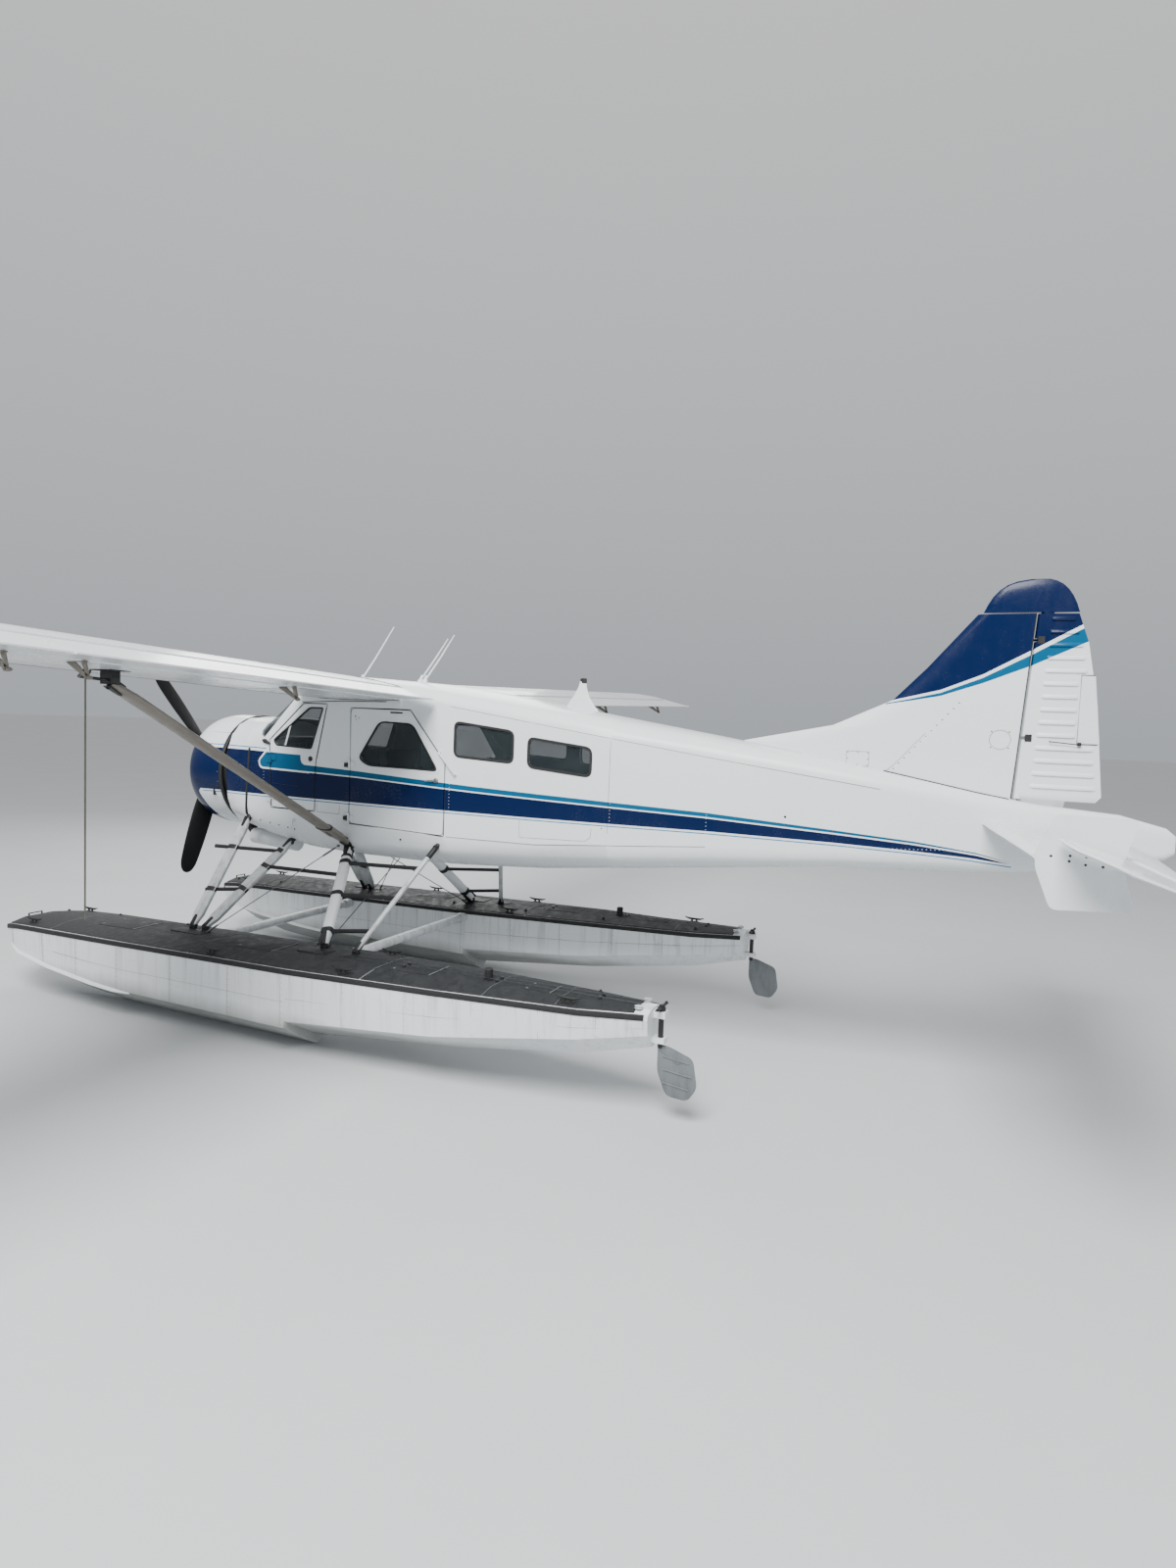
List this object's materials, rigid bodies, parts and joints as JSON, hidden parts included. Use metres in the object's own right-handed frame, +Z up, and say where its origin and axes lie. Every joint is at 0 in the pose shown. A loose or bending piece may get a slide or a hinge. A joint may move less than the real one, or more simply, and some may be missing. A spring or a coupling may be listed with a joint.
{
  "type": "single-engine floatplane",
  "caption": "High-wing utility seaplane on twin floats with a round-cowled radial engine, a strut-braced wing and opening cabin doors.",
  "frame": {"origin": "middle of the footprint, on the floor under the float keels", "axes": "+X to the left wing tip, +Y aft to the tail, +Z up; the nose looks along -Y"},
  "size_m": [14.63, 10.542, 4.178],
  "materials": {
    "white_paint": "painted white, semi-gloss, slightly weathered",
    "navy_paint": "painted navy blue, gloss",
    "grey_paint": "painted pale grey, satin",
    "blade_black": "painted black, satin",
    "engine_metal": "cast and machined metal",
    "stay_wire": "dark streamlined wire",
    "window_glass": "clear acrylic, lightly tinted",
    "seat_cover": "dark upholstery",
    "panel_plastic": "matt black",
    "rope_fibre": "worn laid rope"
  },
  "bodies": {
    "airframe": {"cabin": "white_paint", "cabin_glass_1_left": "window_glass", "cabin_glass_1_right": "window_glass", "cabin_glass_2_left": "window_glass", "cabin_glass_2_right": "window_glass", "windscreen": "window_glass", "tail_body": "white_paint", "fin": "white_paint", "tailplane_left": "white_paint", "tailplane_right": "white_paint", "end_plate_left": "white_paint", "end_plate_right": "white_paint", "wing_left": "white_paint", "wing_right": "white_paint", "wing_strut_left": "grey_paint", "wing_strut_right": "grey_paint", "cowl": "navy_paint", "rear_cowl": "navy_paint", "engine": "engine_metal", "exhaust_fairing": "white_paint", "float_left": "white_paint", "float_right": "white_paint", "front_float_struts_left": "grey_paint", "front_float_struts_right": "grey_paint", "rear_float_struts_left": "white_paint", "rear_float_struts_right": "white_paint", "spreader_front": "grey_paint", "spreader_rear": "grey_paint", "side_stay_left": "stay_wire", "side_stay_right": "stay_wire", "cross_stay_left": "stay_wire", "cross_stay_right": "stay_wire", "pilot_seat_left": "seat_cover", "pilot_seat_right": "seat_cover", "bench_seat": "seat_cover", "instrument_panel": "panel_plastic", "wing_rope": "rope_fibre"},
    "propeller": {"propeller": "blade_black"},
    "rudder": {"rudder": "white_paint"},
    "elevator": {"elevator": "white_paint"},
    "aileron_left": {"aileron_left": "white_paint"},
    "aileron_right": {"aileron_right": "white_paint"},
    "flap_left": {"flap_left": "white_paint"},
    "flap_right": {"flap_right": "white_paint"},
    "water_rudder_left": {"water_rudder_left": "grey_paint"},
    "water_rudder_right": {"water_rudder_right": "grey_paint"},
    "pilot_door_left": {"pilot_door_left": "white_paint", "pilot_door_glass_left": "window_glass"},
    "pilot_door_right": {"pilot_door_right": "white_paint", "pilot_door_glass_right": "window_glass"},
    "cabin_door_left": {"cabin_door_left": "white_paint", "cabin_door_glass_left": "window_glass"},
    "cabin_door_right": {"cabin_door_right": "white_paint", "cabin_door_glass_right": "window_glass"}
  },
  "joints": [
    {"name": "propeller_spin", "type": "hinge", "parent": "airframe", "child": "propeller", "pos_m": [0, -4.091, 2.335], "axis": [0, 1, 0], "continuous": true},
    {"name": "rudder_turn", "type": "hinge", "parent": "airframe", "child": "rudder", "pos_m": [0, 4.227, 2.49], "axis": [0, 0.0554, 0.9985], "range_deg": [-25, 25]},
    {"name": "elevator_turn", "type": "hinge", "parent": "airframe", "child": "elevator", "pos_m": [0, 4.669, 2.3], "axis": [1, 0, 0], "range_deg": [0, 44.5]},
    {"name": "aileron_left_turn", "type": "hinge", "parent": "airframe", "child": "aileron_left", "pos_m": [5, -1.04045, 3.29326], "axis": [0.9995, 0, 0.0312], "range_deg": [-18, 18]},
    {"name": "aileron_right_turn", "type": "hinge", "parent": "airframe", "child": "aileron_right", "pos_m": [-5, -1.04045, 3.29326], "axis": [0.9995, 0, -0.0312], "range_deg": [-18, 18]},
    {"name": "flap_left_lower", "type": "hinge", "parent": "airframe", "child": "flap_left", "pos_m": [2, -1.04045, 3.1995], "axis": [-0.9995, 0, -0.0312], "range_deg": [0, 50]},
    {"name": "flap_right_lower", "type": "hinge", "parent": "airframe", "child": "flap_right", "pos_m": [-2, -1.04045, 3.1995], "axis": [-0.9995, 0, 0.0312], "range_deg": [0, 50]},
    {"name": "water_rudder_left_turn", "type": "hinge", "parent": "airframe", "child": "water_rudder_left", "pos_m": [1.43, 1.894, 0.7], "axis": [0, 0, 1], "range_deg": [-30, 30]},
    {"name": "water_rudder_right_turn", "type": "hinge", "parent": "airframe", "child": "water_rudder_right", "pos_m": [-1.43, 1.894, 0.7], "axis": [0, 0, 1], "range_deg": [-30, 30]},
    {"name": "pilot_door_left_swing", "type": "hinge", "parent": "airframe", "child": "pilot_door_left", "pos_m": [0.633, -2.688, 2.3], "axis": [0, 0, -1], "range_deg": [0, 80]},
    {"name": "pilot_door_right_swing", "type": "hinge", "parent": "airframe", "child": "pilot_door_right", "pos_m": [-0.633, -2.688, 2.3], "axis": [0, 0, 1], "range_deg": [0, 80]},
    {"name": "cabin_door_left_swing", "type": "hinge", "parent": "airframe", "child": "cabin_door_left", "pos_m": [0.636, -1.685, 2.3], "axis": [0, 0, -1], "range_deg": [0, 74]},
    {"name": "cabin_door_right_swing", "type": "hinge", "parent": "airframe", "child": "cabin_door_right", "pos_m": [-0.636, -1.685, 2.3], "axis": [0, 0, 1], "range_deg": [0, 74]}
  ],
  "couplings": [
    {"joint": "aileron_right_turn", "follows": "aileron_left_turn", "ratio": -1},
    {"joint": "flap_right_lower", "follows": "flap_left_lower", "ratio": 1},
    {"joint": "water_rudder_left_turn", "follows": "rudder_turn", "ratio": 1.2},
    {"joint": "water_rudder_right_turn", "follows": "rudder_turn", "ratio": 1.2}
  ]
}
